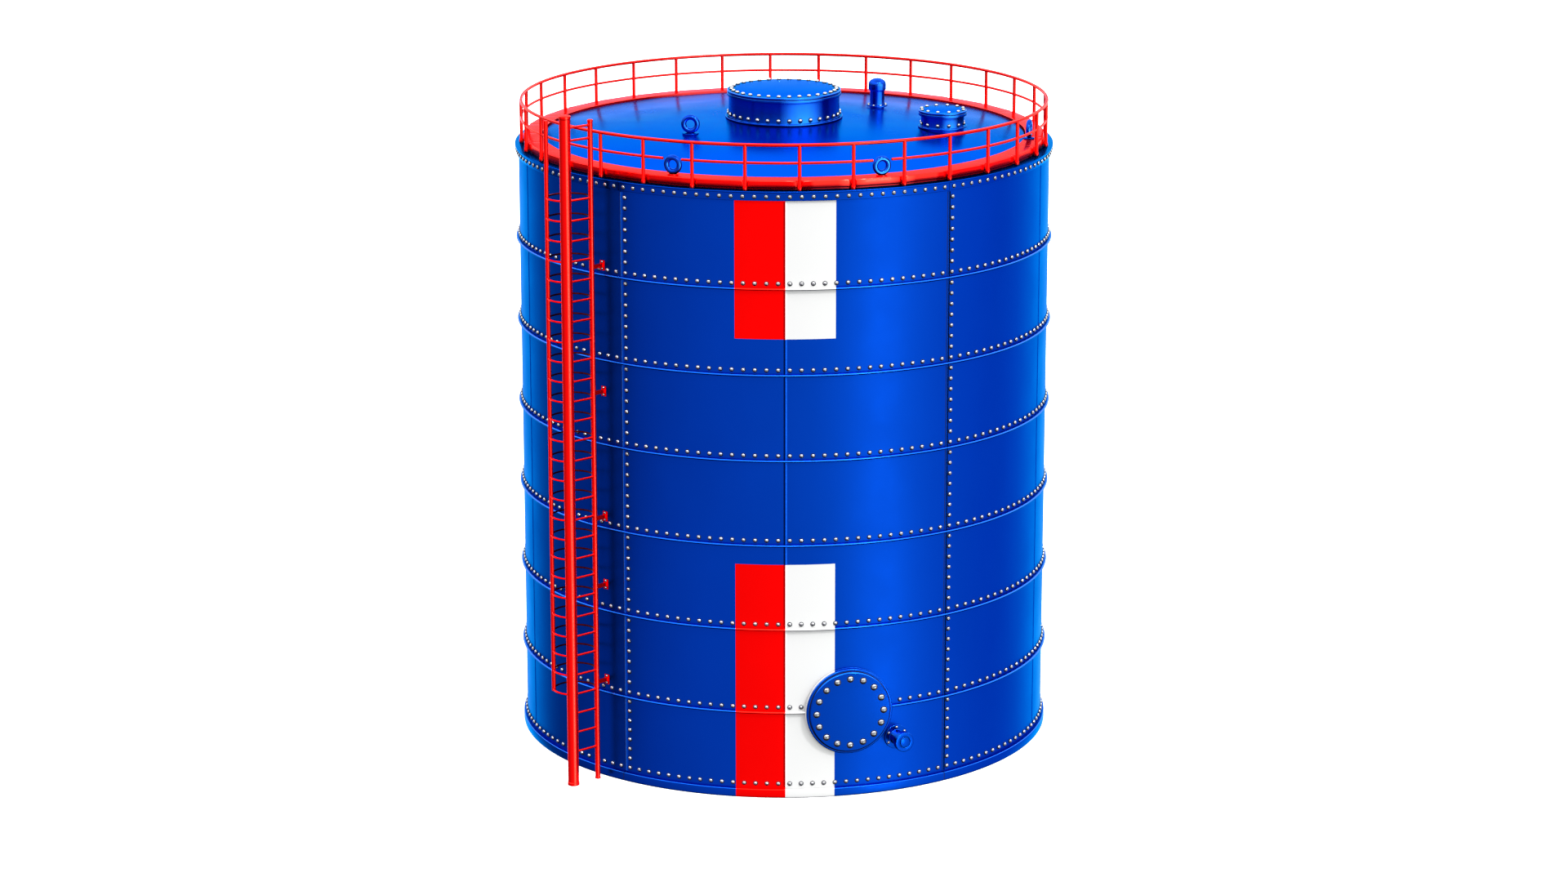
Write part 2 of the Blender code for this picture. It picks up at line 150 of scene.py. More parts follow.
# Manhole and nozzle
MANHOLE_ANGLE = 13.7
MANHOLE_Z = 1.39
MANHOLE = dict(neck=0.60, bore=0.58, flange=0.69, cover=0.65, bolts=0.54)
MANHOLE_BACK = 4.15     # distances from the tank's axis
MANHOLE_FLANGE = (4.285, 4.33)
MANHOLE_COVER = 4.370   # the nuts reach out to where the solid cover ends
NOZZLE_ANGLE = 24.3
NOZZLE_Z = 0.875
NOZZLE = dict(neck=0.115, bore=0.09, pad=0.195, end=0.157, bolts=0.157)
NOZZLE_BACK = 4.20
NOZZLE_PAD = (4.272, 4.294)
NOZZLE_END = (4.51, 4.60)
NOZZLE_CAP = 4.612
NOZZLE_GROOVE_R = 0.077

# Bolts
ROW_PITCH = 2.4         # degrees between the bolts of a horizontal row
ROW_ABOVE = 0.08        # height of a row above its hoop
SEAM_BOLTS = 8          # spaces between bolts in a course of a bolted seam
CLEARANCE = 0.05        # of a wall bolt from a flange
WALL_BOLT_R = 0.032
BAND_BOLT_R = 0.030
BAND_BOLT_H = 0.74      # height of a head, as a share of its radius
HATCH_BOLTS = 32
HATCH_BOLT_R = 0.033
SMALL_HATCH_BOLTS = 12
SMALL_HATCH_BOLT_R = 0.028
VENT_BOLTS = 8
VENT_BOLT_R = 0.018
BRACKET_BOLT_R = 0.017
MANHOLE_BOLTS = 16
MANHOLE_BOLT_R = 0.048
MANHOLE_BOLT_H = 0.70
NOZZLE_BOLTS = 6
NOZZLE_BOLT_R = 0.022

# Stripes, by X on the front of the wall
RED_X = (-0.754, 0.02)
WHITE_X = (0.02, 0.79)
UPPER_FROM = 7.37
LOWER_TO = 3.79

# Paint
BLUE = dict(color=(0.0008, 0.042, 0.40, 1.0), metallic=1.0, tint=(0.03, 0.60, 1.0, 1.0))
RED = dict(color=(0.88, 0.0007, 0.0006, 1.0), metallic=0.85, tint=(1.0, 0.10, 0.10, 1.0))
WHITE = dict(color=(0.57, 0.57, 0.565, 1.0), tint=(1.0, 1.0, 1.0, 1.0))
# Colours of painted light for the blue, the red and the white: a painted highlight and a painted shade
BLUE_PAINTED_LIGHT = ((0.008, 0.13, 0.72, 1.0), (0.0, 0.001, 0.012, 1.0))        # painted highlight on upward slants, painted shade on undersides
RED_PAINTED_LIGHT = ((1.0, 0.022, 0.012, 1.0), (0.30, 0.0, 0.0, 1.0))
WHITE_PAINTED_LIGHT = ((0.72, 0.72, 0.72, 1.0), (0.10, 0.10, 0.11, 1.0))
STREAK_WAY = (0.34, -0.94, 0)       # direction of the faces that get a painted highlight streak, where the strip lamp's highlight falls
BLUE_PAINTED_STREAK = ((0.018, 0.25, 0.92, 1.0), 0.91)       # colour of the painted highlight streak there, and its reach as a cosine
RED_PAINTED_STREAK = ((1.0, 0.05, 0.03, 1.0), 0.965)
RED_COAT = 0.05
COAT_ROUGH = 0.10


# Materials

def node(tree, kind, **values):
    made = tree.nodes.new(kind)
    for key, value in values.items():
        setattr(made, key, value)
    return made


def new_material(name):
    """A material with its node tree, its shader and the place on the object."""
    material = bpy.data.materials.new(name)
    material.use_nodes = True
    tree = material.node_tree
    where = node(tree, "ShaderNodeTexCoord").outputs["Object"]
    return material, tree, tree.nodes["Principled BSDF"], where


def feed(tree, socket, value):
    """Give a socket a number or a colour, or link another node's output to it."""
    if isinstance(value, (int, float, tuple)):
        socket.default_value = value
    else:
        tree.links.new(value, socket)


def math_node(tree, operation, first, second):
    made = node(tree, "ShaderNodeMath", operation=operation)
    feed(tree, made.inputs[0], first)
    feed(tree, made.inputs[1], second)
    return made.outputs[0]


def times(tree, first, second):
    return math_node(tree, "MULTIPLY", first, second)


def between(tree, value, low, high):
    above = math_node(tree, "GREATER_THAN", value, low)
    below = math_node(tree, "LESS_THAN", value, high)
    return times(tree, above, below)


def axes(tree, where):
    split = node(tree, "ShaderNodeSeparateXYZ")
    tree.links.new(where, split.inputs[0])
    return split.outputs


def noise(tree, where, scale, detail, stretch=(1, 1, 1)):
    placed = node(tree, "ShaderNodeMapping")
    placed.inputs["Scale"].default_value = stretch
    tree.links.new(where, placed.inputs["Vector"])
    made = node(tree, "ShaderNodeTexNoise")
    made.inputs["Scale"].default_value = scale
    made.inputs["Detail"].default_value = detail
    tree.links.new(placed.outputs[0], made.inputs["Vector"])
    return made.outputs["Fac"]


def mix(tree, factor, first, second, blend="MIX"):
    made = node(tree, "ShaderNodeMix", data_type="RGBA", blend_type=blend)
    for place, value in ((0, factor), (6, first), (7, second)):
        feed(tree, made.inputs[place], value)
    return made.outputs[2]


def ramp_between(tree, value, low, high, least=0.0, most=1.0):
    """A share from 0 at one value to 1 at another, or from one limit to another."""
    made = node(tree, "ShaderNodeMapRange")
    for key, limit in (("From Min", low), ("From Max", high), ("To Min", least), ("To Max", most)):
        made.inputs[key].default_value = limit
    tree.links.new(value, made.inputs["Value"])
    return made.outputs[0]


def spread(tree, value, low, high):
    """A noise value spread between two limits."""
    return ramp_between(tree, value, 0.3, 0.7, low, high)


def mottle(tree, where, scale=0.45, detail=5.0, stretch=(1, 1, 0.35)):
    """Soft patches, from 0 to 1; by default broad and upright."""
    return spread(tree, noise(tree, where, scale, detail, stretch), 0.0, 1.0)


def bump(tree, height, distance, strength):
    made = node(tree, "ShaderNodeBump")
    made.inputs["Distance"].default_value = distance
    made.inputs["Strength"].default_value = strength
    tree.links.new(height, made.inputs["Height"])
    return made


def surface(tree, shader, where, rough, wave, grain=0.0003):
    """Roughness that varies, gentle waves of rolled sheet and the grain of sprayed paint."""
    blotches = noise(tree, where, 1.3, 4.0)
    tree.links.new(spread(tree, blotches, *rough), shader.inputs["Roughness"])
    waves = bump(tree, noise(tree, where, 1.1, 1.0), wave, 1.0)
    peel = bump(tree, noise(tree, where, 55.0, 2.0), grain, 0.6)
    tree.links.new(waves.outputs[0], peel.inputs["Normal"])
    tree.links.new(peel.outputs[0], shader.inputs["Normal"])


def towards(tree, direction, low, high):
    """A share that grows as a face turns towards a direction, between two cosines."""
    dot = node(tree, "ShaderNodeVectorMath", operation="DOT_PRODUCT")
    tree.links.new(node(tree, "ShaderNodeNewGeometry").outputs["Normal"], dot.inputs[0])
    dot.inputs[1].default_value = direction
    return ramp_between(tree, dot.outputs["Value"], low, high)


def with_painted_light(tree, color, metal, pale, dark, up=(0, 0, 1)):
    """Colour and metal of a piece with painted light: a painted highlight, with less metal, on faces that
    slant towards a direction, and painted shade on faces turned away from it.
    """
    # share of painted highlight, on faces slanting towards the direction
    slant = times(tree, towards(tree, up, 0.40, 0.62), towards(tree, up, 0.97, 0.86))
    # share of painted shade, on faces turned away from the direction
    under = towards(tree, up, -0.05, -0.45)
    color = mix(tree, under, mix(tree, slant, color, pale), dark)
    less = math_node(tree, "SUBTRACT", 1.0, times(tree, slant, 0.6))
    return color, times(tree, metal, less)


def paint(name, color, shade, metal, tint, rough, wave=0.004, coat=0.0, edges=None, up=(0, 0, 1),
          sheen=None):
    """Gloss paint in two close shades, with reflections in its own colour; its edge colours add painted
    highlights on upward slants and painted shade on undersides, and its streak colour adds a painted
    highlight streak.
    """
    material, tree, shader, where = new_material(name)
    shown = mix(tree, mottle(tree, where), color, shade)
    # painted highlights on slanted faces and painted shade on undersides
    if edges:
        shown, metal = with_painted_light(tree, shown, metal, *edges, up)
    # painted highlight: a streak of lighter colour, with less metal, on faces turned towards STREAK_WAY
    if sheen:
        color_there, low = sheen
        streak = towards(tree, STREAK_WAY, low, 0.995)
        shown = mix(tree, streak, shown, color_there)
        metal = times(tree, metal, ramp_between(tree, streak, 1.5, 0.0))
    feed(tree, shader.inputs["Metallic"], metal)
    tree.links.new(shown, shader.inputs["Base Color"])
    shader.inputs["Specular Tint"].default_value = tint
    shader.inputs["Coat Weight"].default_value = coat
    shader.inputs["Coat Roughness"].default_value = COAT_ROUGH
    surface(tree, shader, where, rough, wave)
    material.diffuse_color = color
    return material


def by_stripe(tree, in_red, in_white, blue, red, white):
    """One of three colours, by the stripe that a place lies in."""
    return mix(tree, in_white, mix(tree, in_red, blue, red), white)


def striped(name, rough, up=None):
    """The shell's paint: blue, with a red and a white stripe above and below on the front; given a direction,
    it also paints highlights on faces slanting towards it and shade on faces turned away.
    """
    material, tree, shader, where = new_material(name)
    x, y, z = axes(tree, where)
    upper = math_node(tree, "GREATER_THAN", z, UPPER_FROM)
    lower = math_node(tree, "LESS_THAN", z, LOWER_TO)
    front = math_node(tree, "LESS_THAN", y, 0.0)
    height = times(tree, math_node(tree, "ADD", upper, lower), front)
    in_red = times(tree, height, between(tree, x, *RED_X))
    in_white = times(tree, height, between(tree, x, *WHITE_X))
    shade = tuple(c * 0.88 for c in BLUE["color"][:3]) + (1.0,)
    blue = mix(tree, mottle(tree, where), BLUE["color"], shade)
    color = by_stripe(tree, in_red, in_white, blue, RED["color"], WHITE["color"])
    metal = times(tree, in_red, RED["metallic"] - BLUE["metallic"])
    metal = math_node(tree, "ADD", metal, BLUE["metallic"])
    metal = times(tree, metal, math_node(tree, "SUBTRACT", 1.0, in_white))
    # painted highlight and painted shade, in the colours of the stripe a face lies in
    if up:
        pale, dark = [by_stripe(tree, in_red, in_white, *shades)
                      for shades in zip(BLUE_PAINTED_LIGHT, RED_PAINTED_LIGHT, WHITE_PAINTED_LIGHT)]
        color, metal = with_painted_light(tree, color, metal, pale, dark, up)
    tree.links.new(color, shader.inputs["Base Color"])
    tree.links.new(by_stripe(tree, in_red, in_white, BLUE["tint"], RED["tint"], WHITE["tint"]),
                   shader.inputs["Specular Tint"])
    tree.links.new(metal, shader.inputs["Metallic"])
    surface(tree, shader, where, rough, 0.0 if up else 0.004)
    material.diffuse_color = BLUE["color"]
    return material


def steel(name):
    """Bright plated steel with fine brushed variation, with a painted highlight on the upper slopes of each
    head and painted shade on its underside.
    """
    material, tree, shader, where = new_material(name)
    patches = mottle(tree, where, 30.0, 4.0, (1, 1, 1))
    color = mix(tree, patches, (0.36, 0.36, 0.37, 1.0), (0.18, 0.18, 0.20, 1.0))
    # painted highlight on the upper slopes of each head, painted shade on its underside
    color, metal = with_painted_light(tree, color, 1.0, (0.58, 0.58, 0.59, 1.0), (0.015, 0.015, 0.02, 1.0))
    tree.links.new(color, shader.inputs["Base Color"])
    tree.links.new(metal, shader.inputs["Metallic"])
    surface(tree, shader, where, (0.12, 0.22), 0.0, 0.0006)
    material.diffuse_color = (0.5, 0.5, 0.5, 1.0)
    return material


def rubber(name):
    """Dark sealing rubber under the bolt heads, where its ring also serves as painted shade round each head,
    and along the bolted seams.
    """
    material, tree, shader, where = new_material(name)
    patches = mottle(tree, where, 12.0, 4.0, (1, 1, 1))
    color = mix(tree, patches, (0.004, 0.006, 0.016, 1.0), (0.007, 0.010, 0.026, 1.0))
    tree.links.new(color, shader.inputs["Base Color"])
    shader.inputs["Specular IOR Level"].default_value = 0.2
    surface(tree, shader, where, (0.6, 0.75), 0.0, 0.0005)
    material.diffuse_color = (0.005, 0.008, 0.02, 1.0)
    return material


def cage_paint_with_painted_shade(name):
    """Red paint with painted shade: it turns near-black where the cage's hoops pass close to the wall."""
    material, tree, shader, where = new_material(name)
    # painted shade: the hoops go near-black red towards the wall
    near_wall = ramp_between(tree, axes(tree, where)[1], CAGE_CENTRE.y - 0.02, CAGE_CENTRE.y + 0.10)
    unshaded_red = mix(tree, mottle(tree, where), RED["color"], (0.93, 0.001, 0.001, 1.0))
    tree.links.new(mix(tree, near_wall, unshaded_red, (0.05, 0.0004, 0.0004, 1.0)), shader.inputs["Base Color"])
    shader.inputs["Metallic"].default_value = RED["metallic"]
    shader.inputs["Specular Tint"].default_value = RED["tint"]
    shader.inputs["Coat Weight"].default_value = RED_COAT
    shader.inputs["Coat Roughness"].default_value = COAT_ROUGH
    surface(tree, shader, where, (0.18, 0.27), 0.0)
    material.diffuse_color = RED["color"]
    return material


def blue_paint(name, rough, **more):
    """The blue of the smaller pieces."""
    return paint(name, BLUE["color"], (0.0006, 0.036, 0.35, 1.0), 1.0, BLUE["tint"], rough, wave=0.0, **more)


SHELL_PAINT = striped("shell_paint", (0.36, 0.42))
# painted highlights on upward slants and painted shade on undersides of hoops, rim and fine lines
TRIM_PAINT = striped("trim_paint", (0.28, 0.34), up=(0, 0, 1))
# painted highlight on the side of the front lap edge facing +X, painted shade on the side facing -X
FRONT_LAP_PAINT = striped("front_lap_paint", (0.28, 0.34), up=(1, 0, 0))
BLUE_PAINT = blue_paint("fitting_paint", (0.20, 0.27))
# painted highlight on the side of the lap edges facing -X, painted shade on the side facing +X
LAP_PAINT = blue_paint("lap_paint", (0.20, 0.27), edges=BLUE_PAINTED_LIGHT, up=(-1, 0, 0))
# a painted highlight streak on faces turned towards STREAK_WAY
GLOSS_PAINT = blue_paint("gloss_paint", (0.12, 0.18), coat=0.08, sheen=BLUE_PAINTED_STREAK)
# painted highlights on slants, painted shade on undersides, and a painted highlight streak
COLLAR_PAINT = blue_paint("collar_paint", (0.18, 0.24), edges=BLUE_PAINTED_LIGHT, sheen=BLUE_PAINTED_STREAK)
# painted highlights on slants and painted shade on undersides
FITTING_PAINT_PAINTED_LIGHT = paint("fitting_paint_painted_light", (0.0007, 0.038, 0.37, 1.0), (0.0006, 0.034, 0.33, 1.0), 1.0, BLUE["tint"],
                    (0.18, 0.24), wave=0.0, edges=BLUE_PAINTED_LIGHT)
# Painted light: lighter copies of the blue for the faces that look up, standing for the brighter light on top
ROOF_PAINT = paint("roof_paint", (0.004, 0.052, 0.50, 1.0), (0.004, 0.046, 0.46, 1.0), 1.0,
                   (0.08, 0.54, 1.0, 1.0), (0.20, 0.28))
LID_PAINT = paint("lid_paint", (0.001, 0.085, 0.60, 1.0), (0.001, 0.075, 0.55, 1.0), 1.0,
                  (0.02, 0.45, 1.0, 1.0), (0.20, 0.28), wave=0.0)
# painted highlights on slants, painted shade on undersides, and a painted highlight streak
RED_PAINT = paint("red_paint", (0.94, 0.0018, 0.0012, 1.0), (0.92, 0.0014, 0.0010, 1.0), 0.85, RED["tint"],
                  (0.18, 0.27), wave=0.0, coat=RED_COAT, edges=RED_PAINTED_LIGHT, sheen=RED_PAINTED_STREAK)
CAGE_PAINT = cage_paint_with_painted_shade("cage_paint")
BOLT_STEEL = steel("bolt_steel")
RUBBER = rubber("sealing_rubber")
SLOTS = dict.fromkeys((SHELL_PAINT, TRIM_PAINT, FRONT_LAP_PAINT, BLUE_PAINT, LAP_PAINT, GLOSS_PAINT,
                       COLLAR_PAINT, FITTING_PAINT_PAINTED_LIGHT, ROOF_PAINT, LID_PAINT), "blue_paint")
SLOTS.update({RED_PAINT: "red_paint", CAGE_PAINT: "red_paint"})
SLOTS.update({BOLT_STEEL: "bolt_steel", RUBBER: "bolt_steel"})


# Shapes

def shift(x, y, z):
    return Matrix.Translation((x, y, z))


def polar(angle, radius, z=0.0):
    a = math.radians(angle)
    return Vector((radius * math.sin(a), -radius * math.cos(a), z))


def outward(angle):
    """Frame at the axis whose local -Y points outward at the given angle."""
    return Matrix.Rotation(math.radians(angle), 4, "Z")


def facing(angle, z):
    """Frame whose local Z points outward at the given angle."""
    return shift(0, 0, z) @ outward(angle) @ Matrix.Rotation(math.radians(90), 4, "X")


def standing(place):
    """Frame on the ground under a place."""
    return shift(place.x, place.y, 0)


def rounded(points, radius, closed=True):
    """An outline with its corners rounded off in three steps each."""
    steps = 3
    out = []
    last = len(points) - 1
    for i, point in enumerate(points):
        if not closed and i in (0, last):
            out.append(tuple(point))
            continue
        corner = Vector(point)
        back = Vector(points[i - 1]) - corner
        ahead = Vector(points[(i + 1) % len(points)]) - corner
        cut = min(radius, back.length * 0.45, ahead.length * 0.45)
        first = corner + back.normalized() * cut
        second = corner + ahead.normalized() * cut
        for s in range(steps + 1):
            t = s / steps
            place = first * (1 - t) ** 2 + corner * 2 * t * (1 - t) + second * t ** 2
            out.append((place.x, place.y))
    return out


def skin(bm, rows, around=True, closed=True):
    """Faces from each row of corners to the next; rows that don't go all the way round get caps."""
    count = len(rows)
    size = len(rows[0])
    for i in range(count if around else count - 1):
        here = rows[i]
        there = rows[(i + 1) % count]
        for j in range(size if closed else size - 1):
            k = (j + 1) % size
            bm.faces.new((here[j], there[j], there[k], here[k]))
    if not around:
        bm.faces.new(rows[0])
        bm.faces.new(reversed(rows[-1]))


def lathe(bm, profile, steps, start=0.0, span=360.0, matrix=Matrix.Identity(4)):
    """Turn a profile of (radius, height) round the axis; it is a closed loop unless it meets the axis."""
    full = span >= 360
    rows = []
    for i in range(steps if full else steps + 1):
        angle = start + span * i / steps
        rows.append([bm.verts.new(matrix @ polar(angle, r, z)) for r, z in profile])
    skin(bm, rows, full, min(r for r, z in profile) > 0)


def sweep(bm, points, radius, sides=12, closed=False, up=Vector((0, 0, 1))):
    """A round bar along a line of points."""
    count = len(points)
    rings = []
    for i, place in enumerate(points):
        before = points[i - 1] if closed or i else place
        after = points[(i + 1) % count] if closed or i < count - 1 else place
        along = (after - before).normalized()
        side = along.cross(up).normalized()
        top = side.cross(along)
        ring = []
        for s in range(sides):
            a = 2 * math.pi * s / sides
            ring.append(bm.verts.new(place + (side * math.cos(a) + top * math.sin(a)) * radius))
        rings.append(ring)
    skin(bm, rings, closed)


def block(bm, size, matrix, bevel=0.003):
    """A box with bevelled edges."""
    made = bmesh.ops.create_cube(bm, size=1.0, matrix=matrix @ Matrix.Diagonal((*size, 1.0)))
    edges = list({edge for vert in made["verts"] for edge in vert.link_edges})
    bmesh.ops.bevel(bm, geom=edges, offset=bevel, segments=2, affect="EDGES")


def finish_mesh(bm, name):
    bmesh.ops.remove_doubles(bm, verts=bm.verts, dist=0.00002)
    bmesh.ops.recalc_face_normals(bm, faces=bm.faces)
    mesh = bpy.data.meshes.new(name)
    bm.to_mesh(mesh)
    bm.free()
    return mesh


def put(name, data):
    """A new object in the scene."""
    made = bpy.data.objects.new(name, data)
    bpy.context.scene.collection.objects.link(made)
    return made


def add(name, bm, material, replaced=(), sharp=35):
    """Put a mesh into the scene as a piece that rides on the tank."""
    mesh = finish_mesh(bm, name)
    piece = put(name, mesh)
    mesh.materials.append(material)
    mesh.shade_smooth()
    mesh.set_sharp_from_angle(angle=math.radians(sharp))
    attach(piece, "root")
    if replaced:
        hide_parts(*replaced)
    return piece


def turned(name, profile, steps, material, replaced=(), matrix=Matrix.Identity(4)):
    """A piece that is one turned shape."""
    bm = bmesh.new()
    lathe(bm, profile, steps, matrix=matrix)
    return add(name, bm, material, replaced)


# Bolts

def bolt_shape():
    """A hexagon head of unit radius with a domed end, on a wider dark sealing washer whose rim also stands in
    for the shade round the head.
    """
    # Radius at the corners, radius at the flats, height
    rows = [(1.22, 1.22, 0.0), (1.19, 1.19, 0.06), (1.0, 1.0, 0.09), (1.0, 0.95, 0.30), (0.93, 0.90, 0.52),
            (0.77, 0.76, 0.72), (0.55, 0.55, 0.87), (0.28, 0.28, 0.96)]
    sides = 12
    verts = []
    for corner, flat, height in rows:
        for s in range(sides):
            radius = flat if s % 2 else corner
            a = 2 * math.pi * s / sides
            verts.append((radius * math.cos(a), radius * math.sin(a), height))
    verts.append((0, 0, 1.0))
    faces = [tuple(range(sides))[::-1]]
    for row in range(len(rows) - 1):
        for s in range(sides):
            t = (s + 1) % sides
            base = row * sides
            faces.append((base + s, base + t, base + sides + t, base + sides + s))
    top = (len(rows) - 1) * sides
    for s in range(sides):
        faces.append((top + s, top + (s + 1) % sides, len(verts) - 1))
    washer_faces = 1 + 3 * sides
    return np.array(verts), faces, washer_faces


BOLT_VERTS, BOLT_FACES, WASHER_FACES = bolt_shape()


def bolts(name, places, radius, height=1.0):
    """One mesh of many bolts; each place is a frame whose Z points out of the plate."""
    verts = []
    faces = []
    slots = []
    for place in places:
        spun = place @ Matrix.Rotation(random.uniform(0, math.pi / 3), 4, "Z")
        full = np.array(spun @ Matrix.Diagonal((radius, radius, radius * height, 1.0)))
        first = len(verts)
        verts.extend((BOLT_VERTS @ full[:3, :3].T + full[:3, 3]).tolist())
        faces.extend(tuple(v + first for v in face) for face in BOLT_FACES)
        # the washer takes the dark rubber: a sealing washer, and painted shade round each head
        slots.extend([1] * WASHER_FACES + [0] * (len(BOLT_FACES) - WASHER_FACES))
    mesh = bpy.data.meshes.new(name)
    mesh.from_pydata(verts, [], faces)
    piece = put(name, mesh)
    mesh.materials.append(BOLT_STEEL)
    mesh.materials.append(RUBBER)
    mesh.polygons.foreach_set("material_index", slots)
    mesh.shade_smooth()
    mesh.set_sharp_from_angle(angle=math.radians(28))
    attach(piece, "root")


def bolt_circle(matrix, count, radius, height, start=0.0):
    """Frames in a circle round a frame's own axis, at a height along it."""
    places = []
    for i in range(count):
        a = math.radians(start + 360 * i / count)
        places.append(matrix @ shift(radius * math.cos(a), radius * math.sin(a), height))
    return places


def on_wall(angle, z, radius=SHELL_R):
    return facing(angle, z) @ shift(0, 0, radius)


def clear_of_openings(angle, z):
    """Whether a place on the wall is outside the manhole's flange and the nozzle's pad."""
    for middle, level, size in ((MANHOLE_ANGLE, MANHOLE_Z, MANHOLE["flange"]),
                                (NOZZLE_ANGLE, NOZZLE_Z, NOZZLE["pad"])):
        across = math.radians((angle - middle + 180) % 360 - 180) * SHELL_R
        if math.hypot(across, z - level) < size + CLEARANCE:
            return False
    return True


def make_wall_bolts():
    angles = [ROW_PITCH * (i + 0.5) for i in range(int(360 / ROW_PITCH))]
    rows = [RIM_H + ROW_ABOVE] + [z + ROW_ABOVE for z in HOOP_Z]
    for k, z in enumerate(rows):
        places = [on_wall(a, z) for a in angles if clear_of_openings(a, z)]
        bolts("wall_bolts_row_%d" % (k + 1), places, WALL_BOLT_R)
    middle = (BAND_Z + LEDGE_Z - LIP_H) / 2
    bolts("band_bolts", [on_wall(a, middle, BAND_R) for a in angles], BAND_BOLT_R, BAND_BOLT_H)
    levels = rows + [middle]
    for k, seam in enumerate(BOLTED_SEAMS):
        places = []
        for low, high in zip(levels, levels[1:]):
            for i in range(1, SEAM_BOLTS):
                z = low + (high - low) * i / SEAM_BOLTS
                places.append(on_wall(seam + ROW_PITCH / 2, z))
        bolts("seam_bolts_%d" % (k + 1), places, WALL_BOLT_R)


# Shell

def carved(piece, openings):
    """Cut round openings, given as (radius, frame), through the wall."""
    low, high = THROUGH_WALL
    for radius, matrix in openings:
        bm = bmesh.new()
        lathe(bm, [(0, high), (radius, high), (radius, low), (0, low)], 96, matrix=matrix)
        tool = put("plug", finish_mesh(bm, "plug"))
        modifier = piece.modifiers.new("Boolean", "BOOLEAN")
        modifier.operation = "DIFFERENCE"
        modifier.solver = "EXACT"
        modifier.object = tool
        bpy.context.view_layer.update()
        graph = bpy.context.evaluated_depsgraph_get()
        mesh = bpy.data.meshes.new_from_object(piece.evaluated_get(graph))
        piece.modifiers.clear()
        piece.data = mesh
        bpy.data.objects.remove(tool)


def make_wall():
    joint = math.degrees(PLATE_JOINT / SHELL_R)
    profile = [(SHELL_R, WALL_FOOT), (SHELL_R, WALL_TOP), (SHELL_R - WALL_T, WALL_TOP),
               (SHELL_R - WALL_T, WALL_FOOT)]
    for i in range(COLUMNS):
        bm = bmesh.new()
        lathe(bm, profile, 36, i * SPAN + joint, SPAN - 2 * joint)
        plates = add("wall_plates_%02d" % (i + 1), bm, SHELL_PAINT, ["wall_column_%02d" % (i + 1)])
        if i == 0:
            carved(plates, [(MANHOLE["neck"] + 2 * GAP, facing(MANHOLE_ANGLE, MANHOLE_Z)),
                            (NOZZLE["neck"] + 2 * GAP, facing(NOZZLE_ANGLE, NOZZLE_Z))])


def arcs(bm, profile, joint, seams=BOLTED_SEAMS):
    """A profile carried round the shell from each of these bolted seams to the next, less a fine joint."""
    gap = math.degrees(joint / RING_R)
    for seam in seams:
        lathe(bm, profile, 72, seam + gap / 2, 2 * SPAN - gap)


def hoop_profile(z):
    """A raised half-round bead, flat where it lies on the wall."""
    foot = SHELL_R + GAP
    reach = RING_R - foot
    points = [(foot, z - HOOP_H / 2)]
    for i in range(11):
        a = math.radians(-90 + 18 * i)
        rise = reach * math.cos(a) ** 0.8 if 0 < i < 10 else 0.004
        points.append((foot + rise, z + HOOP_H / 2 * math.sin(a)))
    points.append((foot, z + HOOP_H / 2))
    return points


def make_hoops():
    """Six hoops; the lowest one stops on both sides of the manhole's flange."""
    for k, z in enumerate(HOOP_Z):
        bm = bmesh.new()
        profile = hoop_profile(z)
        if k:
            arcs(bm, profile, RING_JOINT)
        else:
            half = math.degrees((MANHOLE["flange"] + 0.004) / SHELL_R)
            gap = math.degrees(RING_JOINT / RING_R)
            lathe(bm, profile, 40, -SPAN + gap / 2, SPAN + MANHOLE_ANGLE - half - gap / 2)
            lathe(bm, profile, 14, MANHOLE_ANGLE + half, SPAN - MANHOLE_ANGLE - half - gap / 2)
            arcs(bm, profile, RING_JOINT, BOLTED_SEAMS[:4])
        add("hoop_%d_bead" % (k + 1), bm, TRIM_PAINT, ["hoop_%d" % (k + 1)])


def sealant(bm, angle, radius, low, high, width, depth):
    """An upright strip of sealant whose middle is at a radius."""
    middle = shift(0, 0, (low + high) / 2)
    matrix = middle @ outward(angle) @ shift(0, -radius, 0)
    block(bm, (width, depth, high - low), matrix, 0.001)


def make_rim():
    inner = SHELL_R - RIM_T
    bm = bmesh.new()
    arcs(bm, rounded([(inner, 0.0), (RING_R, 0.0), (RING_R, RIM_H), (inner, RIM_H)], 0.016), RIM_JOINT)
    add("base_rim_band", bm, TRIM_PAINT, ["base_rim"])
    bm = bmesh.new()
    for seam in BOLTED_SEAMS:
        sealant(bm, seam, RING_R - 0.007, 0.01, RIM_H - 0.01, 0.020, 0.008)
    add("base_rim_sealant", bm, RUBBER)


def weld_line(bm, angle, low, high, radius):
    sweep(bm, [polar(angle, SHELL_R, low), polar(angle, SHELL_R, high)], radius, 10, up=polar(angle, 1.0))


def seam_sealant(bm, angle, low, high):
    sealant(bm, angle, SHELL_R, low, high, 0.013, 0.004)


def raised_edge(bm, angle, low, high):
    """The rounded edge of a plate that laps the next one."""
    reach = math.acos(1 - LAP_RISE / LAP_R)
    outline = [(-LAP_R * math.sin(reach), -WALL_T / 2)]
    for i in range(13):
        a = reach * (i / 6 - 1)
        outline.append((LAP_R * math.sin(a), LAP_RISE - LAP_R * (1 - math.cos(a))))
    outline.append((LAP_R * math.sin(reach), -WALL_T / 2))
    turn = outward(angle)
    foot, head = [[bm.verts.new(turn @ Vector((x, -(SHELL_R + y), z))) for x, y in outline]
                  for z in (low, high)]
    for i in range(len(outline)):
        j = (i + 1) % len(outline)
        bm.faces.new((foot[i], foot[j], head[j], head[i]))
    bm.faces.new(foot)
    bm.faces.new(reversed(head))


